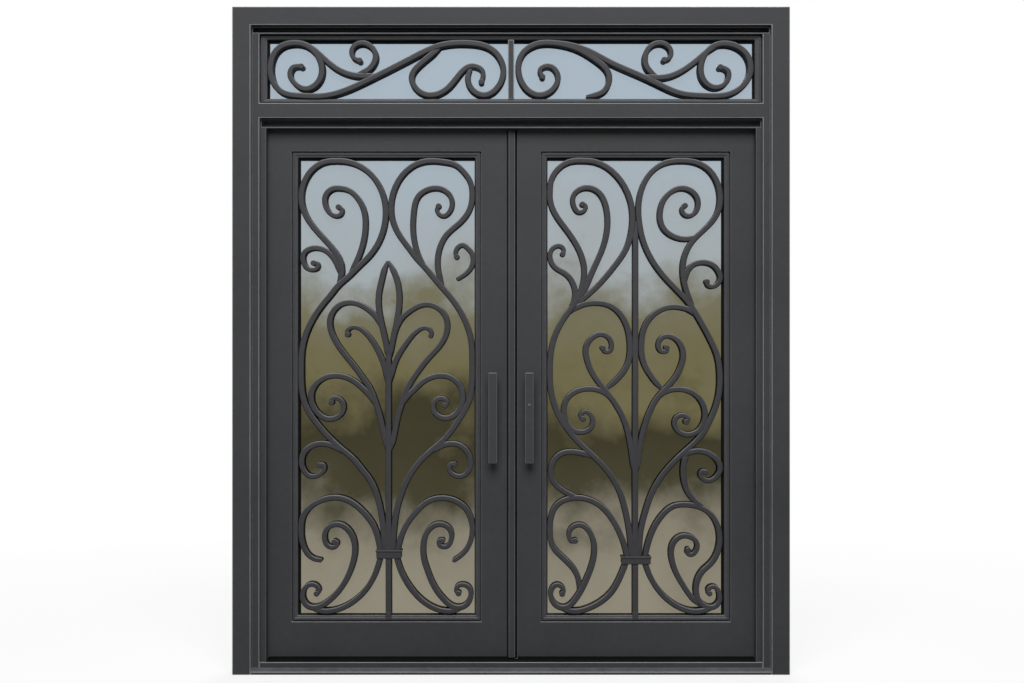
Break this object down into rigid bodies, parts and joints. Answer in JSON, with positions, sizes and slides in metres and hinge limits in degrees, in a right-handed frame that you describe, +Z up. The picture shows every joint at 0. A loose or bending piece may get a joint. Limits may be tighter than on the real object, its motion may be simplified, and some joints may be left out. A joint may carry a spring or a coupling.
{
  "type": "wrought iron double door with transom",
  "caption": "Wrought iron double entry door in a stepped steel frame, with glazed leaves, scrollwork grilles, back-to-back pull handles and a fixed scrolled transom light",
  "frame": {"origin": "underside of the sill, at mid width and mid depth of the frame", "axes": "+Z up, +X to the right seen from the street, +Y from the street into the room"},
  "size_m": [2.12, 0.196, 2.54],
  "materials": {
    "iron": "satin charcoal paint with a faint sandy grain",
    "glass": "tinted reflective double glazing",
    "lock": "dulled steel"
  },
  "bodies": {
    "root": {"left_jamb": "iron", "right_jamb": "iron", "head_jamb": "iron", "left_liner": "iron", "right_liner": "iron", "head_liner": "iron", "transom_bar": "iron", "sill": "iron", "left_stop": "iron", "right_stop": "iron", "head_stop": "iron", "transom_bead_rails": "iron", "transom_bead_stiles": "iron", "transom_glass": "glass", "transom_mullion": "iron", "transom_scrollwork_left": "iron", "transom_scrollwork_right": "iron", "left_jamb_hinges": "iron", "right_jamb_hinges": "iron"},
    "left_leaf": {"left_hinge_stile": "iron", "left_meeting_stile": "iron", "left_top_rail": "iron", "left_bottom_rail": "iron", "left_bead_stiles": "iron", "left_bead_rails": "iron", "left_glass": "glass", "left_scrollwork": "iron", "left_collar": "iron", "left_pull_bars": "iron", "left_pull_posts": "iron", "left_leaf_hinges": "iron", "left_astragal": "iron"},
    "right_leaf": {"right_hinge_stile": "iron", "right_meeting_stile": "iron", "right_top_rail": "iron", "right_bottom_rail": "iron", "right_bead_stiles": "iron", "right_bead_rails": "iron", "right_glass": "glass", "right_scrollwork": "iron", "right_collar": "iron", "right_pull_bars": "iron", "right_pull_posts": "iron", "right_leaf_hinges": "iron", "right_lock_cylinder": "lock"}
  },
  "joints": [
    {"name": "left_leaf_swing", "type": "hinge", "parent": "root", "child": "left_leaf", "pos_m": [-0.9575, 0.086, 0], "axis": [0, 0, 1], "range_deg": [0, 105]},
    {"name": "right_leaf_swing", "type": "hinge", "parent": "root", "child": "right_leaf", "pos_m": [0.9575, 0.086, 0], "axis": [0, 0, -1], "range_deg": [0, 105]}
  ]
}
